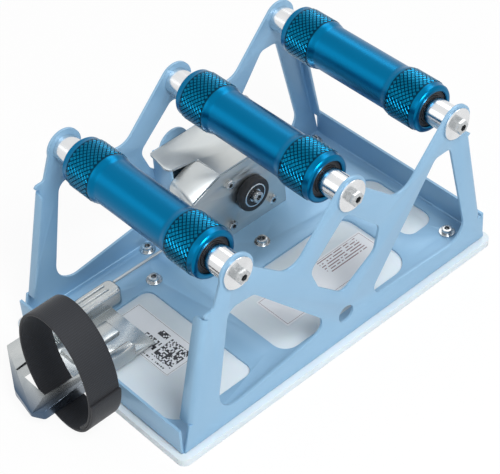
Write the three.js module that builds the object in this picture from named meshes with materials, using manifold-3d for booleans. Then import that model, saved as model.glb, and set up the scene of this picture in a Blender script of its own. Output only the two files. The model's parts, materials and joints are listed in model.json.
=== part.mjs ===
// Bench rest: a folded sheet-metal cradle with three free-running rollers, a guide roller on a
// plated bracket, and a slotted tongue with a webbing strap. Millimetres, +Z up, +Y to the back.
// The origin is the centre of the base pad's underside, and +X points to the near side plate.
import * as THREE from "three";
import { mergeVertices } from "three/addons/utils/BufferGeometryUtils.js";
import Module from "manifold-3d";

const wasm = await Module();
wasm.setup();

// Folded frame
const frameWidth = 176; // outside the side plates
const frameLength = 293; // over the front and back lips
const sheet = 2;
const lipHeight = 21; // of the front and back lips above the floor's top
const endFlange = 10; // inward flange at each end of a side plate
const padThickness = 6;
const padMargin = 4;
const padCorner = 6;

// Rollers
const rollerPitch = 100;
const middleAxleY = 11.5;
const axleHeight = 135.6;
const tubeDiameter = 20;
const sleeveLength = 134;
const gripDiameter = 38; // knurled bands at the ends of a sleeve
const waistDiameter = 34;
const gripLength = 24;
const collarLength = 5;
const bearingDiameter = 27;
const bearingWidth = 4;
const bearingRecess = 2; // from the sleeve's end to the bearing's face
const washerDiameter = 24;
const washerThickness = 2;
const axleScrew = { shank: 6, head: 11, height: 5, reach: 16 };

// Side plates
const lugRadius = 14;
const shoulderDrop = 18.6; // from the axles down to the tops of the end flanges
const valleyDrop = 34; // from the axles down to the corner of a valley between two lugs
const valleyRound = 15;
const cableHoleDiameter = 14;

// Bracket with the guide roller
const bracketFace = -45; // outer face of the plated side plate
const bracketHeight = 63; // above the floor
const coverRise = 16; // of the cover's far edge above its near edge
const bracketFront = -20;
const bracketBack = 72;
const guideY = 36.5;
const guideHeight = 32; // of the guide roller's axis above the floor
const guideDiameter = 28;
const guideHubDiameter = 20;
const guideWidth = 7;
const guideScrew = { shank: 5, head: 9, height: 3, reach: 9 };
const bracketScrew = { shank: 4, head: 8, height: 3, reach: 5 };
const screwInset = { top: 12, bottom: 11, front: 7.5, back: 14.5 }; // from the edges of the plate

// Tongue and strap
const tongueFar = -66;
const tongueNear = -1;
const tongueRailHeight = 13; // above the floor
const farRailWidth = 16;
const nearRailWidth = 8;
const strapWidth = 25;
const strapThickness = 2.2;
const strapHalfWidth = 38; // of the standing loop, outside
const strapHalfHeight = 50.5;
const slotLength = 29; // of the strap slot, along Y
const tongueReach = 51; // from the front lip to the tip
const tieRodDiameter = 2.4;

// Fasteners of the floor, and clearances
const floorScrew = { shank: 4, head: 8, height: 3, reach: 5.5 };
const floorWasher = { diameter: 12, thickness: 1 };
const labelThickness = 0.3;
const clearance = 0.3;
const seatGap = 0.15;

// Worked out from the sizes above
const floorTop = padThickness + sheet;
const lipTop = floorTop + lipHeight;
const frontEnd = -frameLength / 2;
const backEnd = frameLength / 2;
const inner = frameWidth / 2 - sheet; // inner face of a side plate
const [frontAxle, middleAxle, rearAxle] = [-1, 0, 1].map((i) => middleAxleY + i * rollerPitch);
const shoulder = axleHeight - shoulderDrop;
const valley = axleHeight - valleyDrop;
const axles = { front: frontAxle, middle: middleAxle, rear: rearAxle };
const sides = { near: 1, far: -1 };

const finishes = {
  blueSheet: { color: 0x8fb9dc, roughness: 0.45, metalness: 0.3 },
  blueSleeve: { color: 0x0a6aa8, roughness: 0.35, metalness: 0.7 },
  polished: { color: 0xdfe1e3, roughness: 0.15, metalness: 1 },
  zinc: { color: 0xc4c8ca, roughness: 0.3, metalness: 0.9 },
  blackSeal: { color: 0x1b1d20, roughness: 0.6, metalness: 0 },
  pad: { color: 0xe4eaf0, roughness: 0.5, metalness: 0 },
  webbing: { color: 0x34363b, roughness: 0.9, metalness: 0 },
  paper: { color: 0xf1f1ee, roughness: 0.7, metalness: 0 },
};

// A closed geometry as a manifold solid, and back.
function toSolid(geometry) {
  const bare = geometry.clone();
  bare.deleteAttribute("normal");
  bare.deleteAttribute("uv");
  const merged = mergeVertices(bare, 1e-4);
  const vertProperties = new Float32Array(merged.attributes.position.array);
  const triVerts = new Uint32Array(merged.index.array);
  return new wasm.Manifold(new wasm.Mesh({ numProp: 3, vertProperties, triVerts }));
}

function toGeometry(solid) {
  const mesh = solid.getMesh();
  const geometry = new THREE.BufferGeometry();
  geometry.setAttribute("position", new THREE.BufferAttribute(mesh.vertProperties, 3));
  geometry.setIndex(new THREE.BufferAttribute(mesh.triVerts, 1));
  return geometry;
}

const join = (...parts) => toGeometry(parts.map(toSolid).reduce((a, b) => a.add(b)));
const cut = (body, ...tools) => toGeometry(tools.map(toSolid).reduce((a, b) => a.subtract(b), toSolid(body)));

// Outline points from corners given as [x, y, radius]. A wider arc has more steps, up to 12.
function roundedOutline(corners) {
  const points = [];
  corners.forEach(([x, y, radius], i) => {
    const steps = Math.min(12, 2 + Math.ceil(radius * 0.75));
    const p = new THREE.Vector2(x, y);
    if (!radius) {
      points.push(p);
      return;
    }
    const [ax, ay] = corners[(i + corners.length - 1) % corners.length];
    const [bx, by] = corners[(i + 1) % corners.length];
    const a = new THREE.Vector2(ax, ay).sub(p).normalize();
    const b = new THREE.Vector2(bx, by).sub(p).normalize();
    const half = Math.acos(THREE.MathUtils.clamp(a.dot(b), -1, 1)) / 2;
    const centre = a.clone().add(b).normalize().multiplyScalar(radius / Math.sin(half)).add(p);
    const from = a.multiplyScalar(radius / Math.tan(half)).add(p).sub(centre);
    const to = b.multiplyScalar(radius / Math.tan(half)).add(p).sub(centre);
    const sweep = Math.PI - 2 * half;
    for (let k = 0; k <= steps; k += 1) {
      const s = k / steps;
      const u = Math.sin((1 - s) * sweep) / Math.sin(sweep);
      const v = Math.sin(s * sweep) / Math.sin(sweep);
      points.push(centre.clone().addScaledVector(from, u).addScaledVector(to, v));
    }
  });
  return points;
}

function circleOutline(x, y, radius, segments = 24) {
  const angles = Array.from({ length: segments }, (_, k) => (2 * Math.PI * k) / segments);
  return angles.map((a) => new THREE.Vector2(x + radius * Math.cos(a), y + radius * Math.sin(a)));
}

// A flat sheet of an outline, with holes, from z = low to z = high.
function slab(outline, low, high, holes = []) {
  const shape = new THREE.Shape(outline);
  shape.holes = holes.map((hole) => new THREE.Path(hole));
  const geometry = new THREE.ExtrudeGeometry(shape, { depth: high - low, bevelEnabled: false });
  return geometry.translate(0, 0, low);
}

// The same for an outline drawn in Y and Z, from x = low to x = high.
const turnToX = new THREE.Matrix4().makeBasis(
  new THREE.Vector3(0, 1, 0),
  new THREE.Vector3(0, 0, 1),
  new THREE.Vector3(1, 0, 0),
);
const sideSlab = (outline, low, high, holes) => slab(outline, low, high, holes).applyMatrix4(turnToX);

function block(x0, x1, y0, y1, z0, z1) {
  const geometry = new THREE.BoxGeometry(x1 - x0, y1 - y0, z1 - z0);
  return geometry.translate((x0 + x1) / 2, (y0 + y1) / 2, (z0 + z1) / 2);
}

// A turned piece about its own Z axis. The profile is [radius, height] pairs.
function turned(profile, segments) {
  const points = profile.map(([r, z]) => new THREE.Vector2(r, z));
  return new THREE.LatheGeometry([...points, points[0]], segments).rotateX(Math.PI / 2);
}

const ring = (inside, outside, width, segments) =>
  turned([[inside, 0], [outside, 0], [outside, width], [inside, width]], segments);

// A screw along Z with its head's seat at z = 0: a hexagon head with a socket, and a plain shank.
function screwGeometry({ shank, head, height, reach }, sidesOfHead = 6) {
  const socket = circleOutline(0, 0, head * 0.22, 6);
  const floorOfSocket = height * 0.4;
  const skirt = slab(circleOutline(0, 0, head / 2, sidesOfHead), 0, floorOfSocket);
  const rim = slab(circleOutline(0, 0, head / 2, sidesOfHead), floorOfSocket, height, [socket]);
  const stem = slab(circleOutline(0, 0, shank / 2, 12), -reach, 0.5);
  return join(skirt, rim, stem);
}

const part = new THREE.Group();

function addMesh(parent, name, geometry, finish) {
  const mesh = new THREE.Mesh(geometry, new THREE.MeshStandardMaterial(finishes[finish]));
  mesh.name = name;
  parent.add(mesh);
  return mesh;
}

// A group whose own Z axis lies along the part's X axis, at an axle's place.
function acrossGroup(x, y, z, sign = 1) {
  const group = new THREE.Group();
  group.position.set(x, y, z);
  group.rotation.y = (sign * Math.PI) / 2;
  part.add(group);
  return group;
}

// Places of the floor's screws, as [name, x, y].
const floorScrews = [
  ["front_left", 8 - inner, frontEnd + 23.5],
  ["mid_left", 7 - inner, frontAxle + 52],
  ["cross_bar", -51, frontAxle + 34.5],
  ["centre", -24, guideY - 8.5],
  ["back_left", 8 - inner, backEnd - 12.5],
  ["back_right", inner - 20, backEnd - 16.5],
];

// Cutouts of the floor, as corners with radii.
const floorCutouts = [
  [
    [-48, frontEnd + 12, 8],
    [inner - 20, frontEnd + 12, 16],
    [inner - 20, frontAxle + 26, 8],
    [-48, frontAxle + 26, 8],
  ],
  [
    [-5, middleAxle - 49, 12],
    [inner - 16, middleAxle - 49, 12],
    [inner - 16, rearAxle - 22, 18],
    [-5, rearAxle - 22, 14],
  ],
  [
    [-20, rearAxle - 5, 8],
    [inner - 36, rearAxle - 5, 8],
    [inner - 36, backEnd - 11, 12],
    [-20, backEnd - 11, 12],
  ],
];

function addBase() {
  const half = frameWidth / 2 + padMargin;
  const end = frameLength / 2 + padMargin;
  const outline = roundedOutline([
    [-half, -end, padCorner],
    [half, -end, padCorner],
    [half, end, padCorner],
    [-half, end, padCorner],
  ]);
  const pilot = floorScrew.shank / 2 + clearance;
  const depth = floorScrew.reach - sheet - floorWasher.thickness + clearance;
  const pilots = floorScrews.map(([, x, y]) => circleOutline(x, y, pilot, 12));
  const lower = slab(outline, 0, padThickness - depth);
  const upper = slab(outline, padThickness - depth, padThickness, pilots);
  addMesh(part, "base_pad", join(lower, upper), "pad");
}

function addFloor() {
  const outline = [
    [-inner, frontEnd],
    [inner, frontEnd],
    [inner, backEnd],
    [-inner, backEnd],
  ].map(([x, y]) => new THREE.Vector2(x, y));
  const hole = floorScrew.shank / 2 + clearance;
  const holes = [
    ...floorCutouts.map((corners) => roundedOutline(corners)),
    ...floorScrews.map(([, x, y]) => circleOutline(x, y, hole, 12)),
  ];
  const floor = slab(outline, padThickness, floorTop, holes);
  const frontLip = block(-inner, inner, frontEnd, frontEnd + sheet, padThickness, lipTop);
  const backLip = block(-inner, inner, backEnd - sheet, backEnd, padThickness, lipTop);
  const mouth = block(
    tongueFar - 2,
    tongueNear + 2,
    frontEnd - 1,
    frontEnd + sheet + 1,
    floorTop,
    lipTop + 1,
  );
  addMesh(part, "frame_floor", cut(join(floor, frontLip, backLip), mouth), "blueSheet");
}

// Outline of a side plate in Y and Z, and its windows.
const frontFoot = frontEnd + 1.5;
const backFoot = backEnd - 1;
const frontShoulder = frontAxle - 28.5;
const backShoulder = rearAxle + 15;
const plateOutline = [
  [frontFoot, padThickness, 3],
  [frontShoulder, shoulder, 3],
  [frontAxle - 21, shoulder, 3],
  [frontAxle - 13, axleHeight + 2, 0],
  [frontAxle, axleHeight + 6, 0],
  [frontAxle + 13, axleHeight - 4, 0],
  [frontAxle + 45.4, valley, valleyRound],
  [middleAxle - 9.9, axleHeight + 9.9, 0],
  [middleAxle + 11, axleHeight, 0],
  [middleAxle + 47.3, valley, valleyRound],
  [rearAxle - 9.9, axleHeight + 9.9, 0],
  [rearAxle + 12, axleHeight + 2, 0],
  [rearAxle + 10.5, shoulder + 5, 1.5],
  [backShoulder, shoulder + 1, 1.5],
  [backFoot, padThickness, 3],
];
const windowBottom = floorTop + 10;
const plateWindows = [
  [
    [frontAxle + 12.5, axleHeight - 28.5, 6],
    [frontAxle - 9.5, axleHeight - 26.5, 9],
    [frontEnd + 30.5, windowBottom, 16],
    [middleAxle - 20.5, windowBottom + 13.5, 9],
  ],
  [
    [middleAxle - 4.5, axleHeight - 13, 6],
    [middleAxle - 38.5, axleHeight - 43.5, 8],
    [middleAxle - 31.5, axleHeight - 62.5, 10],
    [middleAxle - 9.5, axleHeight - 83.5, 8],
    [middleAxle + 21.5, axleHeight - 65.5, 10],
    [middleAxle + 26.5, axleHeight - 45.5, 7],
  ],
  [
    [rearAxle - 4.5, axleHeight - 19.5, 5],
    [rearAxle - 19.5, axleHeight - 19.5, 6],
    [middleAxle + 13, windowBottom + 10, 8],
    [backEnd - 20.5, windowBottom + 4, 14],
  ],
];
const cableHoleHeight = (floorTop + axleHeight - 83.5) / 2;

// A flange folded inwards along a leaning end edge, from above the lip to the shoulder.
function endFlangeStrip(footY, shoulderY, shoulderZ, inward) {
  const low = lipTop + 1;
  const edge = (z) => footY + ((shoulderY - footY) * (z - padThickness)) / (shoulderZ - padThickness);
  const corners = [
    [edge(low), low],
    [edge(shoulderZ), shoulderZ],
    [edge(shoulderZ) + inward * sheet, shoulderZ],
    [edge(low) + inward * sheet, low],
  ];
  return corners.map(([y, z]) => new THREE.Vector2(y, z));
}

function addSidePlates() {
  const holes = [
    ...plateWindows.map((corners) => roundedOutline(corners)),
    circleOutline(middleAxle - 7, cableHoleHeight, cableHoleDiameter / 2, 20),
  ];
  const frontStrip = endFlangeStrip(frontFoot, frontShoulder, shoulder - 1, 1);
  const backStrip = endFlangeStrip(backFoot, backShoulder, shoulder - 1, -1);
  for (const [side, sign] of Object.entries(sides)) {
    const faces = [sign * inner, (sign * frameWidth) / 2].sort((a, b) => a - b);
    const flangeFaces = [sign * (inner - endFlange), (sign * frameWidth) / 2].sort((a, b) => a - b);
    const plate = sideSlab(roundedOutline(plateOutline), ...faces, holes);
    const lugs = Object.values(axles).map((y) =>
      sideSlab(circleOutline(y, axleHeight, lugRadius, 48), ...faces),
    );
    const strips = [frontStrip, backStrip].map((outline) => sideSlab(outline, ...flangeFaces));
    const bore = axleScrew.shank / 2 + clearance;
    const bores = Object.values(axles).map((y) =>
      sideSlab(circleOutline(y, axleHeight, bore, 12), faces[0] - 1, faces[1] + 1),
    );
    addMesh(part, side + "_side_plate", cut(join(plate, ...lugs, ...strips), ...bores), "blueSheet");
  }
}

function sleeveGeometry() {
  const half = sleeveLength / 2;
  const grip = gripDiameter / 2;
  const waist = waistDiameter / 2;
  const bore = tubeDiameter / 2 + 2;
  const seat = bearingDiameter / 2 + seatGap;
  const pocket = half - bearingRecess - bearingWidth - clearance;
  const gripEnd = half - collarLength - gripLength;
  const collar = grip - 1;
  const outside = [
    [collar - 1.5, half],
    [collar, half - 1.5],
    [collar, half - collarLength],
    [grip, half - collarLength - 1],
    [grip, gripEnd + 1],
    [waist, gripEnd - 1],
  ];
  const mirrored = [...outside].reverse().map(([r, z]) => [r, -z]);
  const inside = [
    [seat, -half],
    [seat, -pocket],
    [bore, -pocket],
    [bore, pocket],
    [seat, pocket],
    [seat, half],
  ];
  return turned([...inside, ...outside, ...mirrored].reverse(), 32);
}

// Tube with a tapped hole in each end for the axle screws.
function tubeGeometry() {
  const radius = tubeDiameter / 2;
  const hole = axleScrew.shank / 2 + clearance;
  const deep = inner - axleScrew.reach;
  const outline = circleOutline(0, 0, radius, 32);
  const tapped = circleOutline(0, 0, hole, 12);
  const core = slab(outline, -deep, deep);
  const nearEnd = slab(outline, deep, inner, [tapped]);
  const farEnd = slab(outline, -inner, -deep, [tapped]);
  return join(core, nearEnd, farEnd);
}

function addRollers() {
  for (const [name, y] of Object.entries(axles)) {
    const axle = acrossGroup(0, y, axleHeight);
    addMesh(axle, name + "_roller_sleeve", sleeveGeometry(), "blueSleeve");
    addMesh(axle, name + "_axle_tube", tubeGeometry(), "polished");
    for (const [side, sign] of Object.entries(sides)) {
      const end = acrossGroup(0, y, axleHeight, sign);
      const inBore = tubeDiameter / 2 + clearance;
      const bearing = addMesh(
        end,
        `${name}_roller_bearing_${side}`,
        ring(inBore, bearingDiameter / 2, bearingWidth, 32),
        "blackSeal",
      );
      bearing.position.z = sleeveLength / 2 - bearingRecess - bearingWidth;
      const washer = addMesh(
        end,
        `${name}_axle_washer_${side}`,
        ring(axleScrew.shank / 2 + clearance, washerDiameter / 2, washerThickness, 24),
        "polished",
      );
      washer.position.z = frameWidth / 2;
      const screw = addMesh(end, `${name}_axle_screw_${side}`, screwGeometry(axleScrew), "polished");
      screw.position.z = frameWidth / 2 + washerThickness;
    }
  }
}

const bracketTop = floorTop + bracketHeight; // underside of the cover at its near edge
const bracketInside = bracketFace - sheet;
const noseSplit = -66; // between the flat part of the cover and the part folded down in front
const noseTop = 10; // where the fold begins
const noseDrop = 12;
const guideZ = floorTop + guideHeight;
const housingFront = bracketFront + 3;
const housingRear = bracketBack - sheet;
const ear = { radius: 13.5, y: middleAxle - 9, sink: 6.5 }; // its centre lies below the cover's far edge
const coverFar = -inner + sheet + clearance;
const coverSlope = coverRise / (bracketFace - coverFar);
const coverHeight = (x) => bracketTop + coverSlope * (bracketFace - x);
const leanCover = new THREE.Matrix4().set(
  1, 0, 0, 0,
  0, 1, 0, 0,
  -coverSlope, 0, 1, coverSlope * bracketFace,
  0, 0, 0, 1,
);

// A wall across the bracket, from y = low to y = high, that ends under the leaning cover.
const turnToY = new THREE.Matrix4().makeBasis(
  new THREE.Vector3(1, 0, 0),
  new THREE.Vector3(0, 0, 1),
  new THREE.Vector3(0, -1, 0),
);
function crossWall(x0, x1, low, high) {
  const corners = [
    [x0, floorTop],
    [x1, floorTop],
    [x1, coverHeight(x1) - clearance],
    [x0, coverHeight(x0) - clearance],
  ];
  const outline = corners.map(([x, z]) => new THREE.Vector2(x, z));
  return slab(outline, -high, -low).applyMatrix4(turnToY);
}

// Blue channel against the far side plate, open towards the plated plate, with a round ear on top.
function addHousing() {
  const far = -inner;
  const farTop = coverHeight(far + sheet);
  const back = block(far, far + sheet, housingFront, housingRear, floorTop, farTop);
  const front = crossWall(far, noseSplit - clearance, housingFront, housingFront + sheet);
  const rear = crossWall(far, bracketInside, housingRear - sheet, housingRear);
  const round = sideSlab(circleOutline(ear.y, farTop + sheet - ear.sink, ear.radius, 40), far, far + sheet);
  addMesh(part, "bracket_housing", join(back, front, rear, round), "blueSheet");
}

// Plated cover: a flat top with a curved front edge, folded down over the front of the side plate.
function addCover() {
  const top = slab(
    roundedOutline([
      [coverFar, bracketFront - 1, 1],
      [noseSplit, bracketFront, 6],
      [noseSplit + 3, noseTop - 5, 4],
      [bracketFace, noseTop, 0],
      [bracketFace, bracketBack, 2],
      [coverFar, bracketBack, 2],
    ]),
    bracketTop,
    bracketTop + sheet,
  );
  const nose = sideSlab(
    [
      [noseTop + 2, bracketTop],
      [noseTop + 2, bracketTop + sheet],
      [noseTop, bracketTop + sheet],
      [bracketFront, bracketTop + sheet - noseDrop],
      [bracketFront, floorTop + 1],
      [bracketFront + sheet, floorTop + 1],
      [bracketFront + sheet, bracketTop - noseDrop + 1],
      [noseTop + 1, bracketTop],
    ].map(([y, z]) => new THREE.Vector2(y, z)),
    noseSplit,
    bracketFace,
  );
  addMesh(part, "bracket_cover", join(top, nose).applyMatrix4(leanCover), "zinc");
}

const bracketScrews = [noseTop + screwInset.front, bracketBack - screwInset.back].flatMap((y) =>
  [floorTop + screwInset.bottom, bracketTop - screwInset.top].map((z) => [y, z]),
);

// Plated side plate that carries the guide roller, with a foot on the floor.
function addBracketPlate() {
  const gap = clearance;
  const outline = [
    [bracketFront + sheet + gap, floorTop],
    [bracketFront + sheet + gap, bracketTop - noseDrop],
    [noseTop + 2, bracketTop - gap],
    [bracketBack, bracketTop - gap],
    [bracketBack, floorTop],
  ].map(([y, z]) => new THREE.Vector2(y, z));
  const holes = bracketScrews.map(([y, z]) => circleOutline(y, z, bracketScrew.shank / 2 + gap, 12));
  holes.push(circleOutline(guideY, guideZ, guideScrew.shank / 2 + gap, 12));
  const plate = sideSlab(outline, bracketInside, bracketFace, holes);
  const foot = block(bracketInside - 10, bracketInside + 1, 0, bracketBack - 10, floorTop, floorTop + sheet);
  addMesh(part, "bracket_side_plate", join(plate, foot), "zinc");
  bracketScrews.forEach(([y, z], i) => {
    const place = acrossGroup(bracketFace, y, z);
    addMesh(place, "bracket_screw_" + (i + 1), screwGeometry(bracketScrew), "polished");
  });
}

function addGuideRoller() {
  const place = acrossGroup(bracketFace + clearance, guideY, guideZ);
  const hub = guideHubDiameter / 2;
  const bore = guideScrew.shank / 2 + clearance;
  addMesh(place, "guide_roller_tyre", ring(hub + seatGap, guideDiameter / 2, guideWidth, 32), "blackSeal");
  addMesh(place, "guide_roller_hub", ring(bore, hub, guideWidth, 32), "polished");
  const screw = addMesh(place, "guide_roller_screw", screwGeometry(guideScrew), "polished");
  screw.position.z = guideWidth + clearance;
}

const tip = frontEnd - tongueReach;
const slotFront = frontEnd - 38;
const railTop = floorTop + tongueRailHeight;
const railBottom = floorTop + 0.6;
const farRailInner = tongueFar + farRailWidth;
const nearRailInner = tongueNear - nearRailWidth;

// Plated tongue: a web between two rails, and a slanting end wall beyond the strap slot.
function addTongue() {
  const slotBack = slotFront + slotLength;
  const webBack = frontAxle + 6;
  const web = block(tongueFar + 1, tongueNear - 1, slotBack, webBack - 12, floorTop, floorTop + sheet);
  const farRail = slab(
    roundedOutline([
      [tongueFar, slotFront + 10, 0],
      [farRailInner + 8, slotFront, 0],
      [farRailInner + 8, slotBack, 6],
      [farRailInner, slotBack + 8, 6],
      [farRailInner, webBack, 5],
      [tongueFar, webBack, 5],
    ]),
    railBottom,
    railTop,
  );
  const nearRail = slab(
    roundedOutline([
      [nearRailInner, slotFront - 2, 0],
      [tongueNear, slotFront - 2, 0],
      [tongueNear, slotBack + 45, 3.5],
      [nearRailInner, slotBack + 45, 3.5],
    ]),
    railBottom,
    railTop,
  );
  const endWall = slab(
    roundedOutline([
      [tongueFar, slotFront + 10, 0],
      [farRailInner + 8, slotFront, 0],
      [tongueNear, slotFront, 0],
      [tongueNear, tip + 5, 3],
      [tongueNear - 9, tip, 4],
      [tongueFar + 33, tip + 4, 8],
    ]),
    railBottom,
    railTop,
  );
  addMesh(part, "tongue", join(web, farRail, nearRail, endWall), "zinc");
  const rodLow = webBack + clearance;
  const rodHigh = bracketFront - clearance;
  const rod = new THREE.CylinderGeometry(tieRodDiameter / 2, tieRodDiameter / 2, rodHigh - rodLow, 10);
  const rodMesh = addMesh(part, "tie_rod", rod, "zinc");
  rodMesh.position.set(noseSplit + 4, (rodLow + rodHigh) / 2, railTop - 3);
}

// Webbing loop through the slot, standing round the near rail that it hangs on.
function addStrap() {
  const centreX = 6;
  const innerA = strapHalfWidth - strapThickness;
  const innerB = strapHalfHeight - strapThickness;
  const reach = (nearRailInner - centreX) / innerA;
  const centreZ = railBottom - clearance + innerB * Math.sqrt(1 - reach * reach);
  const oval = (a, b) => {
    const points = circleOutline(0, 0, 1, 44);
    return points.map((p) => new THREE.Vector2(p.x * a, p.y * b));
  };
  const loop = slab(oval(strapHalfWidth, strapHalfHeight), 0, strapWidth, [oval(innerA, innerB)]);
  const mesh = addMesh(part, "strap", loop, "webbing");
  mesh.rotation.x = Math.PI / 2;
  mesh.position.set(centreX, slotFront + (slotLength + strapWidth) / 2, centreZ);
}

function addFloorFasteners() {
  for (const [name, x, y] of floorScrews) {
    const place = new THREE.Group();
    place.position.set(x, y, floorTop);
    part.add(place);
    const washer = ring(
      floorScrew.shank / 2 + clearance,
      floorWasher.diameter / 2,
      floorWasher.thickness,
      20,
    );
    addMesh(place, "floor_washer_" + name, washer, "polished");
    const screw = addMesh(place, "floor_screw_" + name, screwGeometry(floorScrew, 12), "polished");
    screw.position.z = floorWasher.thickness;
  }
}

function addLabels() {
  const labels = [
    ["code_label", 68, 32, -8, frontAxle - 3.5],
    ["note_label", 33.5, 104, 34, middleAxle + 23.5],
  ];
  for (const [name, width, length, x, y] of labels) {
    const outline = roundedOutline([
      [-width / 2, -length / 2, 1.5],
      [width / 2, -length / 2, 1.5],
      [width / 2, length / 2, 1.5],
      [-width / 2, length / 2, 1.5],
    ]);
    const mesh = addMesh(part, name, slab(outline, 0, labelThickness), "paper");
    mesh.position.set(x, y, padThickness);
  }
}

addBase();
addFloor();
addSidePlates();
addRollers();
addHousing();
addCover();
addBracketPlate();
addGuideRoller();
addTongue();
addStrap();
addFloorFasteners();
addLabels();

export default part;
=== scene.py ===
import json
import math
import bmesh
import bpy
from mathutils import Matrix, Vector

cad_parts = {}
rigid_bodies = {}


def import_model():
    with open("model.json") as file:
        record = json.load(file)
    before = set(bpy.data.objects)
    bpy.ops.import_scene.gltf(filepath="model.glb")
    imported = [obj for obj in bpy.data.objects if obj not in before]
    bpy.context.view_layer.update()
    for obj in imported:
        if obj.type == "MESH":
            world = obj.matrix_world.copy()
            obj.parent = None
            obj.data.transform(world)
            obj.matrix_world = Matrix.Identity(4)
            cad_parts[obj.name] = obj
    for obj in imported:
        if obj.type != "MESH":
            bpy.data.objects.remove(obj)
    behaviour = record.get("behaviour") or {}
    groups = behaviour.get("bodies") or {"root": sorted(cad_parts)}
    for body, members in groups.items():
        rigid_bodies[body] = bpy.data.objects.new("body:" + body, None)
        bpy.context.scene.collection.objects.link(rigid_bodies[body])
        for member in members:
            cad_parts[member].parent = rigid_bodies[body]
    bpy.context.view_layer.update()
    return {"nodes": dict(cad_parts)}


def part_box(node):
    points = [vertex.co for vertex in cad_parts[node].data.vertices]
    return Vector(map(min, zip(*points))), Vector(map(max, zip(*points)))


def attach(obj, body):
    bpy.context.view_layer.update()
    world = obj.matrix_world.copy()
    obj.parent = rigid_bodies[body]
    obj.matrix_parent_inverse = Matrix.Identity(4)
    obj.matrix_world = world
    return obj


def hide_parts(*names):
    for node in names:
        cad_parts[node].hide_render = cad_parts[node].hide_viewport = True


# Roller bench rest: the finish of every piece, in metres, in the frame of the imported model.
for leftover in list(bpy.data.objects):
    bpy.data.objects.remove(leftover)
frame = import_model()
mm = 0.001
print("frame loaded")


def boxOf(node):
    low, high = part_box(node)
    return low, high, (low + high) / 2


def makePiece(bm, name, look, body, nodes=(), sharp=32, flats=None):
    # Edges over sharp degrees stay crisp, and faces over flats mm2 are shaded flat.
    mesh = bpy.data.meshes.new(name)
    bm.to_mesh(mesh)
    bm.free()
    mesh.materials.append(look)
    for face in mesh.polygons:
        face.use_smooth = flats is None or face.area < flats * mm * mm
    mesh.set_sharp_from_angle(angle=math.radians(sharp))
    piece = bpy.data.objects.new(name, mesh)
    bpy.context.scene.collection.objects.link(piece)
    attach(piece, body)
    if nodes:
        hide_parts(*nodes)
    return piece


def softenEdges(bm, width, segments=2, angle=30, pick=None):
    limit = math.radians(angle)
    edges = [e for e in bm.edges if len(e.link_faces) == 2 and e.calc_face_angle(0) > limit]
    if pick:
        edges = [e for e in edges if pick(e)]
    bmesh.ops.bevel(bm, geom=edges, offset=width, segments=segments, profile=0.5,
                    affect="EDGES", clamp_overlap=True, material=-1)


def middle(edge):
    return (edge.verts[0].co + edge.verts[1].co) / 2


def cadCopy(node):
    # A CAD node's mesh with its loose triangles joined into whole faces.
    bm = bmesh.new()
    bm.from_mesh(frame["nodes"][node].data)
    bmesh.ops.remove_doubles(bm, verts=bm.verts, dist=2e-6)
    bmesh.ops.dissolve_limit(bm, angle_limit=math.radians(1.5), verts=bm.verts, edges=bm.edges)
    return bm


def turnedSizes(node):
    # Centre in metres, and half length and radius in mm, of a CAD piece that is round about X.
    low, high, centre = boxOf(node)
    return centre, (high.x - low.x) / 2 / mm, (high.z - low.z) / 2 / mm


def bothEnds(face):
    # The profile of one end, then its mirror image at the other.
    return face + [(-x, r) for x, r in reversed(face)]


def turned(profile, centre, steps=64, closed=True):
    # Spins (along X, radius) pairs, in mm, round the X axis through centre.
    bm = bmesh.new()
    verts = [bm.verts.new(centre + Vector((x * mm, 0, r * mm))) for x, r in profile]
    edges = [bm.edges.new(pair) for pair in zip(verts, verts[1:])]
    if closed:
        edges.append(bm.edges.new((verts[-1], verts[0])))
    bmesh.ops.spin(bm, geom=verts + edges, cent=centre, axis=(1, 0, 0),
                   angle=math.tau, steps=steps, use_merge=True)
    bmesh.ops.remove_doubles(bm, verts=bm.verts, dist=1e-6)
    bmesh.ops.recalc_face_normals(bm, faces=bm.faces)
    return bm


def newGroup(name, inputs, outputs):
    group = bpy.data.node_groups.new(name, "ShaderNodeTree")
    for label, kind, value in inputs:
        socket = group.interface.new_socket(name=label, in_out="INPUT", socket_type=kind)
        if value is not None:
            socket.default_value = value
    for label, kind in outputs:
        group.interface.new_socket(name=label, in_out="OUTPUT", socket_type=kind)
    return group, group.nodes.new("NodeGroupInput"), group.nodes.new("NodeGroupOutput")


def makeMottle():
    # Two near tones that drift over a surface, with a mask of the same drift.
    group, start, end = newGroup("mottle", [
        ("Vector", "NodeSocketVector", None), ("Tone A", "NodeSocketColor", None),
        ("Tone B", "NodeSocketColor", None), ("Scale", "NodeSocketFloat", 40.0),
    ], [("Color", "NodeSocketColor"), ("Mask", "NodeSocketFloat")])
    noise = group.nodes.new("ShaderNodeTexNoise")
    noise.inputs["Detail"].default_value = 5
    ramp = group.nodes.new("ShaderNodeValToRGB")
    ramp.color_ramp.elements[0].position = 0.32
    ramp.color_ramp.elements[1].position = 0.68
    mix = group.nodes.new("ShaderNodeMix")
    mix.data_type = "RGBA"
    link = group.links.new
    link(start.outputs["Vector"], noise.inputs["Vector"])
    link(start.outputs["Scale"], noise.inputs["Scale"])
    link(noise.outputs["Fac"], ramp.inputs["Fac"])
    link(ramp.outputs["Color"], mix.inputs["Factor"])
    link(start.outputs["Tone A"], mix.inputs[6])
    link(start.outputs["Tone B"], mix.inputs[7])
    link(mix.outputs[2], end.inputs["Color"])
    link(ramp.outputs["Color"], end.inputs["Mask"])
    return group


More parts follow.
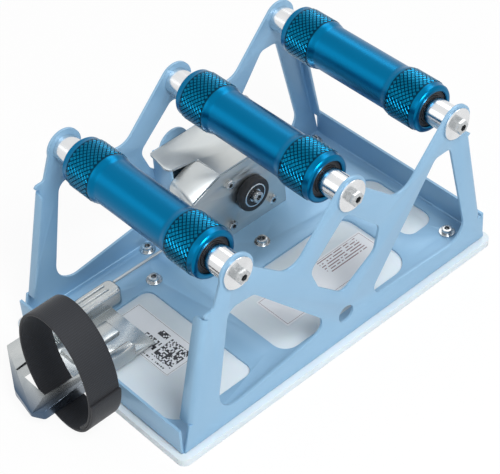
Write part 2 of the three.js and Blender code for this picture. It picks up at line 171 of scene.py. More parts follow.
def makeGrain():
    # A fine two-scale height, stretched by the vector that it is given.
    group, start, end = newGroup("grain", [
        ("Vector", "NodeSocketVector", None), ("Fine", "NodeSocketFloat", 900.0),
        ("Coarse", "NodeSocketFloat", 120.0),
    ], [("Height", "NodeSocketFloat")])
    total = group.nodes.new("ShaderNodeMath")
    total.operation = "ADD"
    link = group.links.new
    for i, scale in enumerate(("Fine", "Coarse")):
        noise = group.nodes.new("ShaderNodeTexNoise")
        noise.inputs["Detail"].default_value = 3
        link(start.outputs["Vector"], noise.inputs["Vector"])
        link(start.outputs[scale], noise.inputs["Scale"])
        link(noise.outputs["Fac"], total.inputs[i])
    link(total.outputs["Value"], end.inputs["Height"])
    return group


mottleGroup = makeMottle()
grainGroup = makeGrain()


def newLook(name, **plain):
    look = bpy.data.materials.new(name)
    look.use_nodes = True
    shader = look.node_tree.nodes["Principled BSDF"]
    for socket, value in plain.items():
        shader.inputs[socket.replace("_", " ")].default_value = value
    return look, look.node_tree, shader


def place(tree, stretch=(1, 1, 1)):
    coords = tree.nodes.new("ShaderNodeTexCoord")
    mapping = tree.nodes.new("ShaderNodeMapping")
    mapping.inputs["Scale"].default_value = stretch
    tree.links.new(coords.outputs["Object"], mapping.inputs["Vector"])
    return mapping.outputs["Vector"]


def addMottle(tree, shader, vector, toneA, toneB, scale, rough=None):
    node = tree.nodes.new("ShaderNodeGroup")
    node.node_tree = mottleGroup
    node.inputs["Tone A"].default_value = (*toneA, 1)
    node.inputs["Tone B"].default_value = (*toneB, 1)
    node.inputs["Scale"].default_value = scale
    tree.links.new(vector, node.inputs["Vector"])
    tree.links.new(node.outputs["Color"], shader.inputs["Base Color"])
    if rough:
        spread = tree.nodes.new("ShaderNodeMapRange")
        spread.inputs["To Min"].default_value, spread.inputs["To Max"].default_value = rough
        tree.links.new(node.outputs["Mask"], spread.inputs["Value"])
        tree.links.new(spread.outputs["Result"], shader.inputs["Roughness"])
    return node


def addGrain(tree, shader, vector, fine, coarse, strength, depth):
    node = tree.nodes.new("ShaderNodeGroup")
    node.node_tree = grainGroup
    node.inputs["Fine"].default_value = fine
    node.inputs["Coarse"].default_value = coarse
    bump = tree.nodes.new("ShaderNodeBump")
    bump.inputs["Strength"].default_value = strength
    bump.inputs["Distance"].default_value = depth
    tree.links.new(vector, node.inputs["Vector"])
    tree.links.new(node.outputs["Height"], bump.inputs["Height"])
    tree.links.new(bump.outputs["Normal"], shader.inputs["Normal"])


def makeFinish(name, toneA, toneB, scale, rough, grain, stretch=(1, 1, 1), **plain):
    look, tree, shader = newLook(name, **plain)
    vector = place(tree, stretch)
    addMottle(tree, shader, vector, toneA, toneB, scale, rough)
    addGrain(tree, shader, vector, *grain)
    return look


def makeSleeveLook():
    # Anodised blue, with painted shade in the knurl. The tone attribute is 0 in a knurl's grooves, which are
    # painted near black, and 1 on smooth stretches.
    look, tree, shader = newLook("anodisedBlue", Metallic=0.96)
    vector = place(tree, (0.2, 1, 1))
    tone = tree.nodes.new("ShaderNodeAttribute")
    tone.attribute_name = "tone"
    ramp = tree.nodes.new("ShaderNodeValToRGB")
    # Painted shade: the grooves near black, and the crests a little darker than the smooth blue.
    ramp.color_ramp.elements[0].color = (0.0, 0.030, 0.065, 1)
    ramp.color_ramp.elements[1].color = (0.0, 0.150, 0.320, 1)
    crest = ramp.color_ramp.elements.new(0.6)
    crest.color = (0.0, 0.135, 0.255, 1)
    drift = addMottle(tree, shader, vector, (0.92, 0.92, 0.92), (1, 1, 1), 60, (0.27, 0.34))
    mix = tree.nodes.new("ShaderNodeMix")
    mix.data_type = "RGBA"
    mix.blend_type = "MULTIPLY"
    mix.inputs["Factor"].default_value = 1
    tree.links.new(tone.outputs["Fac"], ramp.inputs["Fac"])
    tree.links.new(ramp.outputs["Color"], mix.inputs[6])
    tree.links.new(drift.outputs["Color"], mix.inputs[7])
    tree.links.new(mix.outputs[2], shader.inputs["Base Color"])
    addGrain(tree, shader, vector, 2500, 400, 0.05, 0.0001)
    return look


def makeWebbingLook():
    # Ribs run along the strap, which its UV map follows in metres.
    look, tree, shader = newLook("webbing", Roughness=0.78, Sheen_Weight=0.12, Sheen_Roughness=0.4)
    coords = tree.nodes.new("ShaderNodeTexCoord")
    heights = []
    for direction, pitch in (("X", 0.0011), ("Y", 0.0016)):
        wave = tree.nodes.new("ShaderNodeTexWave")
        wave.bands_direction = direction
        wave.inputs["Scale"].default_value = 0.314 / pitch  # a wave's period is 0.314 over its scale
        wave.inputs["Distortion"].default_value = 0.4
        tree.links.new(coords.outputs["UV"], wave.inputs["Vector"])
        heights.append(wave.outputs["Fac"])
    weave = tree.nodes.new("ShaderNodeMath")
    weave.operation = "MULTIPLY"
    tree.links.new(heights[0], weave.inputs[0])
    tree.links.new(heights[1], weave.inputs[1])
    mix = tree.nodes.new("ShaderNodeMix")
    mix.data_type = "RGBA"
    mix.inputs[6].default_value = (0.009, 0.0105, 0.014, 1)
    mix.inputs[7].default_value = (0.021, 0.024, 0.031, 1)
    bump = tree.nodes.new("ShaderNodeBump")
    bump.inputs["Strength"].default_value = 0.35
    bump.inputs["Distance"].default_value = 0.0003
    tree.links.new(weave.outputs["Value"], mix.inputs["Factor"])
    tree.links.new(weave.outputs["Value"], bump.inputs["Height"])
    tree.links.new(mix.outputs[2], shader.inputs["Base Color"])
    tree.links.new(bump.outputs["Normal"], shader.inputs["Normal"])
    return look


def combine(tree, operation, a, b):
    node = tree.nodes.new("ShaderNodeMath")
    node.operation = operation
    for i, value in enumerate((a, b)):
        if isinstance(value, (int, float)):
            node.inputs[i].default_value = value
        else:
            tree.links.new(value, node.inputs[i])
    return node.outputs["Value"]


def makeLabelLook(name, patches, ink):
    # Generic print: each patch is (x0, x1, y0, y1, block x, block y, share printed), in mm.
    look, tree, shader = newLook(name, Roughness=0.45)
    coords = tree.nodes.new("ShaderNodeTexCoord")
    split = tree.nodes.new("ShaderNodeSeparateXYZ")
    tree.links.new(coords.outputs["Object"], split.inputs["Vector"])
    x, y = split.outputs["X"], split.outputs["Y"]
    printed = None
    for x0, x1, y0, y1, blockX, blockY, share in patches:
        inside = None
        for value, low, high in ((x, x0, x1), (y, y0, y1)):
            span = combine(tree, "MULTIPLY", combine(tree, "GREATER_THAN", value, low * mm),
                           combine(tree, "LESS_THAN", value, high * mm))
            inside = span if inside is None else combine(tree, "MULTIPLY", inside, span)
        if share < 1:
            cell = tree.nodes.new("ShaderNodeCombineXYZ")
            for i, (value, step) in enumerate(((x, blockX), (y, blockY))):
                column = combine(tree, "FLOOR", combine(tree, "DIVIDE", value, step * mm), 0)
                tree.links.new(column, cell.inputs[i])
            chance = tree.nodes.new("ShaderNodeTexWhiteNoise")
            tree.links.new(cell.outputs["Vector"], chance.inputs["Vector"])
            filled = combine(tree, "LESS_THAN", chance.outputs["Value"], share)
            inside = combine(tree, "MULTIPLY", inside, filled)
        printed = inside if printed is None else combine(tree, "MAXIMUM", printed, inside)
    paper = addMottle(tree, shader, coords.outputs["Object"], (0.82, 0.85, 0.88), (0.86, 0.88, 0.91), 50)
    mix = tree.nodes.new("ShaderNodeMix")
    mix.data_type = "RGBA"
    mix.inputs[7].default_value = (*ink, 1)
    tree.links.new(printed, mix.inputs["Factor"])
    tree.links.new(paper.outputs["Color"], mix.inputs[6])
    tree.links.new(mix.outputs[2], shader.inputs["Base Color"])
    return look


def shadeBy(look, attribute, tone):
    # Blends a look's colour to a tone where a vertex attribute is 1. It paints the shade in the screw
    # sockets and the dark reflection on the tongue's tip.
    tree = look.node_tree
    shader = tree.nodes["Principled BSDF"]
    source = shader.inputs["Base Color"].links[0].from_socket
    mask = tree.nodes.new("ShaderNodeAttribute")
    mask.attribute_name = attribute
    mix = tree.nodes.new("ShaderNodeMix")
    mix.data_type = "RGBA"
    mix.inputs[7].default_value = (*tone, 1)
    tree.links.new(mask.outputs["Fac"], mix.inputs["Factor"])
    tree.links.new(source, mix.inputs[6])
    tree.links.new(mix.outputs[2], shader.inputs["Base Color"])


blueSheet = makeFinish("blueSheet", (0.245, 0.445, 0.640), (0.275, 0.475, 0.665), 25, (0.38, 0.48),
                       (1400, 350, 0.06, 0.0001), Metallic=0.25, Coat_Weight=0.2, Coat_Roughness=0.25)
anodised = makeSleeveLook()
polished = makeFinish("polishedSteel", (0.70, 0.71, 0.72), (0.80, 0.81, 0.82), 90, (0.14, 0.24),
                      (3000, 500, 0.08, 0.0001), stretch=(0.1, 1, 1), Metallic=1.0)
fastener = makeFinish("brightZincScrew", (0.44, 0.46, 0.47), (0.62, 0.64, 0.65), 400, (0.20, 0.32),
                      (2500, 700, 0.15, 0.0001), Metallic=1.0)
# Painted shade: darkens each screw socket's floor, where shade falls in the hollow.
shadeBy(fastener, "paintedSocketShade", (0.13, 0.14, 0.15))
zinc = makeFinish("zincPlate", (0.50, 0.53, 0.54), (0.60, 0.62, 0.61), 60, (0.30, 0.38),
                  (900, 160, 0.04, 0.0002), stretch=(1, 0.35, 1), Metallic=0.93)
tongueZinc = makeFinish("tongueZinc", (0.42, 0.45, 0.46), (0.58, 0.60, 0.60), 60, (0.18, 0.30),
                        (900, 160, 0.04, 0.0002), stretch=(1, 0.35, 1), Metallic=0.95)
# Painted reflection: the tongue's slanting tip is darkened to blue-black, as if it mirrored something dark.
shadeBy(tongueZinc, "paintedReflection", (0.07, 0.11, 0.17))
rubber = makeFinish("rubberSeal", (0.012, 0.013, 0.016), (0.024, 0.026, 0.030), 160, (0.45, 0.60),
                    (1800, 300, 0.15, 0.0001))
padLook = makeFinish("palePad", (0.66, 0.73, 0.78), (0.74, 0.80, 0.84), 18, (0.40, 0.52),
                     (1200, 200, 0.08, 0.0001), Subsurface_Weight=0.08)
webbing = makeWebbingLook()
print("materials made")


folded = {
    "thickness": 2 * mm, "bend": 3 * mm, "steps": 7, "edge": 0.35 * mm,
    "seam": 85 * mm,  # from the middle to where the floor meets a side plate
    "flange": 10 * mm, "flangeBend": 4 * mm, "flangeFoot": 30 * mm, "notch": 0.4 * mm,
    "shoulder": 2 * mm, "corner": 4 * mm,
    "mouthGap": 2 * mm,  # room beside the tongue, where the front lip is open
    "inside": (0, 0, 0.06),  # a point in the cradle, towards which the sheet has its thickness
    "flats": 300,
}
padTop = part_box("base_pad")[1].z
bendTop = padTop + folded["bend"]


def skinOf(node, normal, level):
    # The flat outer face of a CAD node, as an open skin.
    bm = cadCopy(node)
    way = Vector(normal)
    bm.normal_update()
    away = [f for f in bm.faces if f.normal.dot(way) < 0.99
            or abs(f.calc_center_median().dot(way) - level) > 1e-5]
    bmesh.ops.delete(bm, geom=away, context="FACES")
    return bm


def partsOf(faces):
    # Faces with their edges and corners, for a cut.
    return list(set(faces) | {e for f in faces for e in f.edges} | {v for f in faces for v in f.verts})


def trim(bm, point, normal, faces=None):
    # Cuts away what lies on the side that the normal points to.
    parts = partsOf(list(bm.faces) if faces is None else faces)
    bmesh.ops.bisect_plane(bm, geom=parts, dist=1e-6, plane_co=point, plane_no=normal,
                           clear_outer=True)


def rimOn(bm, point, normal):
    way = Vector(normal).normalized()
    return [e for e in bm.edges if e.is_boundary
            and all(abs((v.co - Vector(point)).dot(way)) < 1e-5 for v in e.verts)]


def fold(bm, rim, centre, axis, angle, steps):
    verts = list({v for e in rim for v in e.verts})
    made = bmesh.ops.spin(bm, geom=verts + rim, cent=centre, axis=axis, angle=angle, steps=steps)
    return [g for g in made["geom_last"] if isinstance(g, bmesh.types.BMEdge)]


def extend(bm, rim, step):
    made = bmesh.ops.extrude_edge_only(bm, edges=rim)
    verts = [g for g in made["geom"] if isinstance(g, bmesh.types.BMVert)]
    bmesh.ops.translate(bm, verts=verts, vec=step)
    return [g for g in made["geom"] if isinstance(g, bmesh.types.BMEdge)]


def thicken(bm):
    # Gives the skin its sheet thickness, towards the inside of the cradle.
    bmesh.ops.remove_doubles(bm, verts=bm.verts, dist=2e-6)
    bmesh.ops.recalc_face_normals(bm, faces=bm.faces)
    largest = max(bm.faces, key=lambda f: f.calc_area())
    if largest.normal.dot(Vector(folded["inside"]) - largest.calc_center_median()) > 0:
        bmesh.ops.reverse_faces(bm, faces=bm.faces)
    bmesh.ops.solidify(bm, geom=list(bm.faces), thickness=folded["thickness"])
    bmesh.ops.recalc_face_normals(bm, faces=bm.faces)


def atSeam(edge):
    return all(abs(abs(v.co.x) - folded["seam"]) < 2e-5 and v.co.z < bendTop for v in edge.verts)


def buildSide(side, sign):
    node = side + "_side_plate"
    low, high, _ = boxOf(node)
    outer = sign * max(abs(low.x), abs(high.x))
    bm = skinOf(node, (sign, 0, 0), abs(outer))
    trim(bm, (outer, 0, bendTop), (0, 0, -1))
    rim = rimOn(bm, (outer, 0, bendTop), (0, 0, 1))
    fold(bm, rim, (outer - sign * folded["bend"], 0, bendTop), (0, 1, 0),
         sign * math.pi / 2, folded["steps"])
    for end in (-1, 1):
        addFlange(bm, sign, end)
    thicken(bm)
    softenEdges(bm, folded["edge"], 2, 50, lambda e: not atSeam(e))
    return makePiece(bm, side + "SidePlateFolded", blueSheet, "frame", [node],
                     flats=folded["flats"])


def leaningEdge(bm, end):
    # The long straight edge at one end of a side plate, and its points at the foot and the shoulder.
    straight = [e for e in bm.edges if e.is_boundary and e.calc_length() > 60 * mm
                and abs(e.verts[0].co.z - e.verts[1].co.z) > 50 * mm]
    edge = max(straight, key=lambda e: end * middle(e).y)
    foot, shoulder = sorted(edge.verts, key=lambda v: v.co.z)
    return edge, foot, shoulder


def addFlange(bm, sign, end):
    # Notches the leaning edge by the bend's radius, then folds a flange up from the notch.
    edge, foot, shoulder = leaningEdge(bm, end)
    length = edge.calc_length()
    along = (shoulder.co - foot.co).normalized()
    outward = Vector((0, end * along.z, -end * along.y))
    footAt = (folded["flangeFoot"] - foot.co.z) / along.z
    stops = [footAt, footAt + folded["notch"], length - folded["shoulder"]]
    added = []
    at = 0
    for stop in stops:
        edge, vert = bmesh.utils.edge_split(edge, foot, (stop - at) / (length - at))
        added.append(vert)
        foot, at = vert, stop
        edge = next(e for e in vert.link_edges if shoulder in e.verts)
    for vert in added[1:3]:
        vert.co -= outward * folded["flangeBend"]
    rim = [next(e for e in added[1].link_edges if added[2] in e.verts)]
    centre = added[1].co - Vector((sign * folded["flangeBend"], 0, 0))
    last = fold(bm, rim, centre, along, sign * end * math.pi / 2, folded["steps"])
    free = extend(bm, last, Vector((-sign * (folded["flange"] - folded["flangeBend"]), 0, 0)))
    corner = max({v for e in free for v in e.verts}, key=lambda v: v.co.z)
    bmesh.ops.bevel(bm, geom=[corner], offset=folded["corner"], segments=5, profile=0.5,
                    affect="VERTICES", clamp_overlap=True, material=-1)


def buildFloor():
    low, high, _ = boxOf("frame_floor")
    tongueLow, tongueHigh, _ = boxOf("tongue")
    bm = skinOf("frame_floor", (0, 0, -1), -low.z)
    for end, level in ((-1, low.y), (1, high.y)):
        cutAt = level - end * folded["bend"]
        trim(bm, (0, cutAt, low.z), (0, end, 0))
        rim = rimOn(bm, (0, cutAt, low.z), (0, 1, 0))
        last = fold(bm, rim, (0, cutAt, bendTop), (1, 0, 0), end * math.pi / 2, folded["steps"])
        extend(bm, last, Vector((0, 0, high.z - bendTop)))
    for side in (-1, 1):
        flat = [f for f in bm.faces if f.calc_center_median().z < low.z + 1e-5]
        trim(bm, (side * folded["seam"], 0, low.z), (side, 0, 0), flat)
    mouth = (tongueLow.x - folded["mouthGap"], tongueHigh.x + folded["mouthGap"])
    for edge in mouth:
        lip = [f for f in bm.faces if f.calc_center_median().y < low.y + folded["bend"]]
        bmesh.ops.bisect_plane(bm, geom=partsOf(lip), dist=1e-6, plane_co=(edge, 0, 0),
                               plane_no=(1, 0, 0))
    opened = []
    for face in bm.faces:
        spot = face.calc_center_median()
        if spot.y < low.y + 1e-4 and mouth[0] < spot.x < mouth[1] and spot.z > bendTop:
            opened.append(face)
    bmesh.ops.delete(bm, geom=opened, context="FACES")
    thicken(bm)
    softenEdges(bm, folded["edge"], 2, 50, lambda e: not atSeam(e))
    return makePiece(bm, "floorAndLips", blueSheet, "frame", ["frame_floor"],
                     flats=folded["flats"])


buildFloor()
for side, sign in (("near", 1), ("far", -1)):
    buildSide(side, sign)
print("frame folded")


def softCopy(node, name, look, width, segments=2, angle=30):
    # A CAD piece whose shape is right, with its edges rounded.
    bm = cadCopy(node)
    softenEdges(bm, width, segments, angle)
    return makePiece(bm, name, look, "frame", [node], flats=60)


pad = {"edge": 1.2 * mm, "segments": 3}
softCopy("base_pad", "basePad", padLook, pad["edge"], pad["segments"])

bracket = {
    "edge": 0.3 * mm, "sideEdge": 0.25 * mm,
    "foldSoft": 5 * mm, "foldLength": 15 * mm,  # the folds' rounding, and the shortest edge that is one
    "foldFrom": 22 * mm, "foldAbove": 30 * mm, "foldBefore": 16 * mm,  # where the folds lie
}


def buildCover():
    bm = cadCopy("bracket_cover")
    low = boxOf("bracket_cover")[0]

    def isFold(edge):
        run = (edge.verts[0].co - edge.verts[1].co).normalized()
        spot = middle(edge)
        return (abs(run.y) < 0.02 and edge.calc_length() > bracket["foldLength"]
                and spot.x > low.x + bracket["foldFrom"] and spot.z > low.z + bracket["foldAbove"]
                and spot.y < bracket["foldBefore"])

    softenEdges(bm, bracket["foldSoft"], 8, 8, isFold)
    softenEdges(bm, bracket["edge"], 2, 40)
    return makePiece(bm, "bracketCoverFolded", zinc, "frame", ["bracket_cover"], flats=60)


buildCover()
softCopy("bracket_housing", "bracketHousing", blueSheet, bracket["edge"], 2, 40)
softCopy("bracket_side_plate", "bracketSidePlate", zinc, bracket["sideEdge"], 2, 40)


sleeve = {
    "around": 32, "rows": 6, "groove": 0.55, "rise": 0.5, "margin": 0.5,  # the knurl's diamonds
    "grip": 19.0, "waist": 17.0, "gripLength": 24, "fade": 7, "collar": 5,
    "collarRadius": 17.95,
    "lip": [(0, 16.2), (0.5, 17.2), (1.5, 17.9)],  # in from the end, and radius
    "seatGap": 0.15, "seatDepth": 7, "seatStep": 1.6,  # the bearing's seat
}


def buildSleeve(name):
    centre, half, _ = turnedSizes(name + "_roller_sleeve")
    seat = turnedSizes(name + "_roller_bearing_near")[2] + sleeve["seatGap"]
    base = sleeve["grip"] - sleeve["groove"]
    gripStart = half - sleeve["collar"] - 1
    gripEnd = gripStart - sleeve["gripLength"] + 2
    rows = 2 * sleeve["rows"]
    outline = [(half, seat + 0.5)] + [(half - back, r) for back, r in sleeve["lip"]]
    outline += [(half - sleeve["collar"] + 0.6, sleeve["collarRadius"]),
                (half - sleeve["collar"] - 0.4, base)]
    outline += [(gripStart + (gripEnd - gripStart) * j / rows, base) for j in range(rows + 1)]
    for k in range(1, 9):
        share = 0.5 - 0.5 * math.cos(math.pi * k / 8)
        outline.append((gripEnd - sleeve["fade"] * k / 8, base + (sleeve["waist"] - base) * share))
    mirrored = [(-x, r) for x, r in reversed(outline)]
    stop = half - sleeve["seatDepth"]
    step = seat - sleeve["seatStep"]
    inside = [(-half + 0.5, seat), (-stop, seat), (-stop, step),
              (stop, step), (stop, seat), (half - 0.5, seat)]
    around = 2 * sleeve["around"]
    bm = turned(outline + mirrored + inside, centre, around)
    tone = bm.verts.layers.float.new("tone")
    for v in bm.verts:
        v[tone] = 1.0
    lows, peaks = [], []
    for v in bm.verts:
        offset = v.co - centre
        along = abs(offset.x) / mm
        if abs(offset.yz.length / mm - base) > 0.02 or not gripEnd - 0.01 < along < gripStart + 0.01:
            continue
        # Painted shade: the knurl's grooves take the darkest tone.
        v[tone] = 0.0
        i = round(math.atan2(offset.y, offset.z) / math.tau * around)
        j = round((gripStart - along) / (gripStart - gripEnd) * rows)
        if (i + j) % 2 == 0:
            lows.append(v)
        elif 0 < j < rows:
            peaks.append(v)
    bmesh.ops.connect_verts(bm, verts=lows)
    bmesh.ops.dissolve_verts(bm, verts=peaks)
    diamonds = [f for f in bm.faces if len(f.verts) == 4 and all(v[tone] == 0.0 for v in f.verts)
                and f.calc_area() < 20 * mm * mm
                and abs(f.edges[0].calc_length() - f.edges[1].calc_length()) < 0.5 * mm]
    print(name, "knurl diamonds", len(diamonds), "of", len(peaks))
    before = set(bm.verts)
    bmesh.ops.inset_individual(bm, faces=diamonds, thickness=sleeve["margin"] * mm,
                               depth=sleeve["rise"] * mm)
    for v in bm.verts:
        if v not in before:
            v[tone] = 0.6
    return makePiece(bm, name + "RollerSleeve", anodised, name + "_roller",
                     [name + "_roller_sleeve"])


bearing = {"bore": 10.3, "sealSet": 0.4, "innerRing": 0.8, "outerRing": 0.7, "edge": 0.08 * mm}


def buildBearing(name, side):
    node = f"{name}_roller_bearing_{side}"
    centre, half, outside = turnedSizes(node)
    bore = bearing["bore"]
    seal = half - bearing["sealSet"]
    face = [(half, bore), (half, bore + bearing["innerRing"]), (seal, bore + bearing["innerRing"] + 0.2),
            (seal, outside - bearing["outerRing"] - 0.2), (half, outside - bearing["outerRing"]),
            (half, outside)]
    bm = turned(bothEnds(face), centre, 64)
    softenEdges(bm, bearing["edge"], 1, 40)
    return makePiece(bm, node.replace("_", "."), rubber, name + "_roller", [node])


tube = {"bore": 3.3, "boreDepth": 16, "edge": 0.4}


def buildTube(name):
    node = name + "_axle_tube"
    centre, half, radius = turnedSizes(node)
    side = [(half - tube["boreDepth"], 0), (half - tube["boreDepth"], tube["bore"]), (half, tube["bore"]),
            (half, radius - tube["edge"]), (half - tube["edge"], radius)]
    bm = turned(bothEnds(side), centre, 72, closed=False)
    return makePiece(bm, name + "AxleTube", polished, "frame", [node])


washer = {
    "largeFrom": 8, "largeBore": 0.275, "smallBore": 0.385,  # the bore is a share of the radius
    "rim": [(0, 0.5), (0.25, 0.12), (0.6, 0)],  # in from the face, and in from the edge
    "thinRim": [(0, 0.2), (0.2, 0)],
}


def buildWasher(node, look, name):
    # A turned disc, whose axis is its shortest side.
    low, high, centre = boxOf(node)
    size = high - low
    thin = min(size)
    half = thin / 2 / mm
    outside = max(size) / 2 / mm
    bore = outside * washer["largeBore" if outside > washer["largeFrom"] else "smallBore"]
    rim = washer["thinRim" if half < 0.6 else "rim"]
    face = [(half, bore)] + [(half - back, outside - inward) for back, inward in rim]
    bm = turned(bothEnds(face), Vector((0, 0, 0)), 48)
    if size.z == thin:
        upright = Matrix.Rotation(math.radians(-90), 3, "Y")
        bmesh.ops.rotate(bm, verts=bm.verts, cent=(0, 0, 0), matrix=upright)
    bmesh.ops.translate(bm, verts=bm.verts, vec=centre)
    return makePiece(bm, name, look, "frame", [node])


screws = {
    "axle": {"head": 11, "height": 5, "sides": 6, "socket": 0.24},
    "floor": {"head": 8, "height": 3, "sides": 24, "socket": 0.24},
    "bracket": {"head": 8, "height": 3, "sides": 6, "socket": 0.22},
    "guide": {"head": 9, "height": 3, "sides": 24, "socket": 0.22},
}


def buildScrew(node, name, way, kind):
    # A headed screw whose head points along way, as long as the CAD screw.
    head, height, sides, socket = (screws[kind][size] for size in ("head", "height", "sides", "socket"))
    low, high, centre = boxOf(node)
    way = Vector(way)
    top = centre.copy()
    for i in range(3):
        if way[i]:
            top[i] = high[i] if way[i] > 0 else low[i]
    length = max(abs((high - low).dot(way)), height * mm)
    bm = bmesh.new()
    bmesh.ops.create_cone(bm, cap_ends=True, segments=sides, radius1=head / 2 * mm, radius2=head / 2 * mm,
                          depth=height * mm, matrix=Matrix.Translation((0, 0, -height / 2 * mm)))
    softenEdges(bm, height * 0.14 * mm, 2, 50, lambda e: all(v.co.z > -0.01 * mm for v in e.verts))
    bm.normal_update()
    crown = max((f for f in bm.faces if f.normal.z > 0.9), key=lambda f: f.calc_area())
    bmesh.ops.inset_individual(bm, faces=[crown], thickness=head * (0.5 - socket) * 0.72 * mm, depth=0)
    bmesh.ops.inset_individual(bm, faces=[crown], thickness=0.12 * mm, depth=-height * 0.5 * mm)
    # Painted shade: 1 on the socket's floor, which the look darkens.
    paintedSocketShade = bm.verts.layers.float.new("paintedSocketShade")
    for v in crown.verts:
        v[paintedSocketShade] = 1.0
    shank = bmesh.ops.create_cone(bm, cap_ends=True, segments=16, radius1=head * 0.26 * mm,
                                  radius2=head * 0.26 * mm, depth=length - height * mm * 0.9)
    bmesh.ops.translate(bm, verts=shank["verts"], vec=(0, 0, -(length + height * mm * 0.9) / 2))
    turn = Vector((0, 0, 1)).rotation_difference(way).to_matrix().to_4x4()
    bmesh.ops.transform(bm, verts=bm.verts, matrix=Matrix.Translation(top) @ turn)
    return makePiece(bm, name, fastener, "frame", [node])


for name in ("front", "middle", "rear"):
    buildSleeve(name)
    buildTube(name)
    for side, sign in (("near", 1), ("far", -1)):
        buildBearing(name, side)
        buildWasher(f"{name}_axle_washer_{side}", polished, f"{name}AxleWasher.{side}")
        buildScrew(f"{name}_axle_screw_{side}", f"{name}AxleScrew.{side}", (sign, 0, 0), "axle")
print("rollers made")

for spot in ("front_left", "mid_left", "cross_bar", "centre", "back_left", "back_right"):
    buildWasher("floor_washer_" + spot, fastener, "floorWasher." + spot)
    buildScrew("floor_screw_" + spot, "floorScrew." + spot, (0, 0, 1), "floor")
for i in range(1, 5):
    buildScrew(f"bracket_screw_{i}", f"bracketScrew.{i}", (1, 0, 0), "bracket")


guide = {
    "bore": 2.8, "innerRing": 5.2, "seal": 8.6,
    "innerSet": 0.4, "sealSet": 1.2, "outerSet": 0.3,  # how far each part of the hub's face lies in
    "tread": [(0, 1.6), (0.5, 0.6), (1.5, 0.1), (2.5, 0)],  # in from the side, and in from the tread
    "ring": [(1.1, 5.5), (0.7, 5.7), (0.7, 8.4), (1.1, 8.55)],  # in from the side, and radius
}


def buildGuide():
    centre, half, outside = turnedSizes("guide_roller_tyre")
    inside = turnedSizes("guide_roller_hub")[2]
    crown = [(half - 0.2, inside + 0.1), (half, inside + 0.6)]
    crown += [(half - back, outside - inward) for back, inward in guide["tread"]]
    bm = turned(bothEnds(crown), centre, 72)
    makePiece(bm, "guideRollerTyre", rubber, "guide_roller", ["guide_roller_tyre"])
    inner, sealed, outer = (half - guide[depth] for depth in ("innerSet", "sealSet", "outerSet"))
    face = [(inner, guide["bore"]), (inner, guide["innerRing"]), (sealed, guide["innerRing"] + 0.2),
            (sealed, guide["seal"]), (outer, guide["seal"] + 0.2), (outer, inside - 0.3),
            (outer - 0.3, inside)]
    bm = turned(bothEnds(face), centre, 72)
    makePiece(bm, "guideRollerHub", polished, "guide_roller", ["guide_roller_hub"])
    for side, sign in (("far", -1), ("near", 1)):
        bm = turned([(sign * (half - back), r) for back, r in guide["ring"]], centre, 72)
        makePiece(bm, "guideRollerSeal." + side, rubber, "guide_roller", ["guide_roller_hub"])
    buildScrew("guide_roller_screw", "guideRollerScrew", (1, 0, 0), "guide")


buildGuide()
print("guide roller made")


tongue = {
    "edge": 0.3 * mm, "railSoft": 2.6 * mm, "rearCorner": 13 * mm,
    "slant": 12 * mm, "tipDrop": 9 * mm,  # the slanting end's length, and how far its tip is lowered
    "railFrom": 14 * mm,  # where the rails' rounding starts
    # Painted reflection: where the darkened tip ends, and over how much it fades.
    "paintedReflection": 13 * mm, "paintedReflectionFade": 3 * mm,  # the dark reflection on the slanting end
    "stripEdge": 0.8 * mm,
    # Pressed strips: across from the far side, in from the front and the rear, and up from the top.
    "strips": [((3.2, 5.4), (50, 8), (-1, 0.9)), ((8.6, 10.4), (50, 8), (-1, 0.9)),
               ((24, 40), (50, 24), (-12, -9))],
}


def buildTongue():
    bm = cadCopy("tongue")
    low, high, _ = boxOf("tongue")
    slant = tongue["slant"]
    for v in bm.verts:
        if v.co.z > high.z - 1e-4 and v.co.y < low.y + slant:
            v.co.z -= tongue["tipDrop"] * (1 - (v.co.y - low.y) / slant * 0.9)
    softenEdges(bm, tongue["railSoft"], 4, 60,
                lambda e: all(v.co.z > high.z - 0.2 * mm for v in e.verts)
                and middle(e).y > low.y + tongue["railFrom"])
    softenEdges(bm, tongue["rearCorner"], 8, 60,
                lambda e: all(v.co.x > high.x - 1 * mm and v.co.y > high.y - 1 * mm for v in e.verts))
    softenEdges(bm, tongue["edge"], 1, 55)
    for (x0, x1), (front, rear), (z0, z1) in tongue["strips"]:
        start = Vector((low.x + x0 * mm, low.y + front * mm, high.z + z0 * mm))
        stop = Vector((low.x + x1 * mm, high.y - rear * mm, high.z + z1 * mm))
        made = bmesh.ops.create_cube(bm, size=1)
        bmesh.ops.scale(bm, verts=made["verts"], vec=stop - start)
        bmesh.ops.translate(bm, verts=made["verts"], vec=(start + stop) / 2)
        edges = list({e for v in made["verts"] for e in v.link_edges})
        bmesh.ops.bevel(bm, geom=edges, offset=tongue["stripEdge"], segments=3, profile=0.5,
                        affect="EDGES", clamp_overlap=True, material=-1)
    # Painted reflection: 1 on the slanting tip, fading to 0 behind it.
    paintedReflection = bm.verts.layers.float.new("paintedReflection")
    for v in bm.verts:
        ahead = (low.y + tongue["paintedReflection"] - v.co.y) / tongue["paintedReflectionFade"]
        v[paintedReflection] = min(1, max(0, ahead))
    return makePiece(bm, "tonguePressed", tongueZinc, "frame", ["tongue"], flats=60)


def buildRod():
    low, high, centre = boxOf("tie_rod")
    radius = (high.x - low.x) / 2 / mm
    half = (high.y - low.y) / 2 / mm
    bm = turned([(-half, 0), (-half, radius - 0.4), (-half + 0.4, radius), (half - 0.4, radius),
                 (half, radius - 0.4), (half, 0)], Vector((0, 0, 0)), 20, closed=False)
    bmesh.ops.rotate(bm, verts=bm.verts, cent=(0, 0, 0), matrix=Matrix.Rotation(math.radians(90), 3, "Z"))
    bmesh.ops.translate(bm, verts=bm.verts, vec=centre)
    return makePiece(bm, "tieRod", zinc, "frame", ["tie_rod"])


buildTongue()
buildRod()


